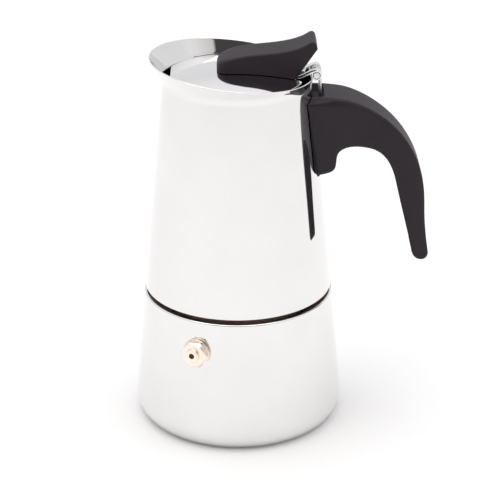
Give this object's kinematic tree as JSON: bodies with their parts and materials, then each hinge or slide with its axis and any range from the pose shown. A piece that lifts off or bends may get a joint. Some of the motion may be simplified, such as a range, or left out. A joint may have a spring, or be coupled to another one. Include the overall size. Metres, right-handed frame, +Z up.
{
  "type": "moka pot",
  "caption": "Stove-top coffee pot: polished steel boiler and flared collector that screw together, hinged domed lid with knob, black hook handle and brass valve.",
  "frame": {"origin": "centre of the flat underside of the base, on the pot's vertical axis", "axes": "+Z up along the pot's axis, +X towards the handle, -X towards the spout; the safety valve faces between -X and -Y"},
  "size_m": [0.1348, 0.096, 0.182],
  "materials": {
    "polished_steel": "mirror-polished stainless steel",
    "satin_steel": "satin stainless steel",
    "machined_steel": "machined stainless steel",
    "spring_steel": "drawn spring wire",
    "brass": "pale turned brass",
    "silicone": "off-white silicone rubber",
    "black_plastic": "fine satin black heat-proof plastic"
  },
  "bodies": {
    "boiler": {"boiler_shell": "polished_steel", "boiler_base": "polished_steel", "boiler_neck": "machined_steel", "valve_body": "brass", "valve_retainer": "brass", "valve_washer": "silicone", "valve_nut": "brass", "valve_spring": "spring_steel"},
    "valve_pin": {"valve_poppet": "brass"},
    "funnel": {"funnel_cup": "satin_steel", "funnel_plate": "satin_steel", "funnel_stem": "satin_steel"},
    "seal": {"gasket": "silicone"},
    "filter": {"filter_screen": "satin_steel"},
    "collector": {"collector_shell": "polished_steel", "thread_ring": "machined_steel", "collector_floor": "satin_steel", "column": "satin_steel", "column_cap": "satin_steel", "hinge_bracket": "machined_steel", "handle": "black_plastic", "handle_screw": "machined_steel"},
    "lid": {"lid_plate": "polished_steel", "lid_knob": "black_plastic", "knob_screw_front": "machined_steel", "knob_screw_rear": "machined_steel", "hinge_pin": "machined_steel"}
  },
  "joints": [
    {"name": "valve_lift", "type": "slide", "parent": "boiler", "child": "valve_pin", "axis": [-0.413, -0.9063, 0.0895], "range_m": [0, 0.0012], "stiffness_N_per_m": 2500, "springref_m": -0.0008, "deforming": ["valve_spring"]},
    {"name": "collector_lift", "type": "slide", "parent": "boiler", "child": "seal", "axis": [0, 0, 1], "range_m": [0, 0.14]},
    {"name": "funnel_lift", "type": "slide", "parent": "boiler", "child": "funnel", "axis": [0, 0, 1], "range_m": [0, 0.075]},
    {"name": "thread_rise", "type": "slide", "parent": "seal", "child": "filter", "axis": [0, 0, 1], "range_m": [0, 0.00526]},
    {"name": "thread_turn", "type": "hinge", "parent": "filter", "child": "collector", "pos_m": [0, 0, 0], "axis": [0, 0, 1], "range_deg": [0, 540]},
    {"name": "lid_hinge", "type": "hinge", "parent": "collector", "child": "lid", "pos_m": [0.0349, 0, 0.166], "axis": [0, 1, 0], "range_deg": [0, 112]}
  ],
  "couplings": [
    {"joint": "funnel_lift", "follows": "collector_lift", "ratio": 0.5},
    {"joint": "thread_rise", "follows": "thread_turn", "m_per_rad": 0.00055704}
  ]
}
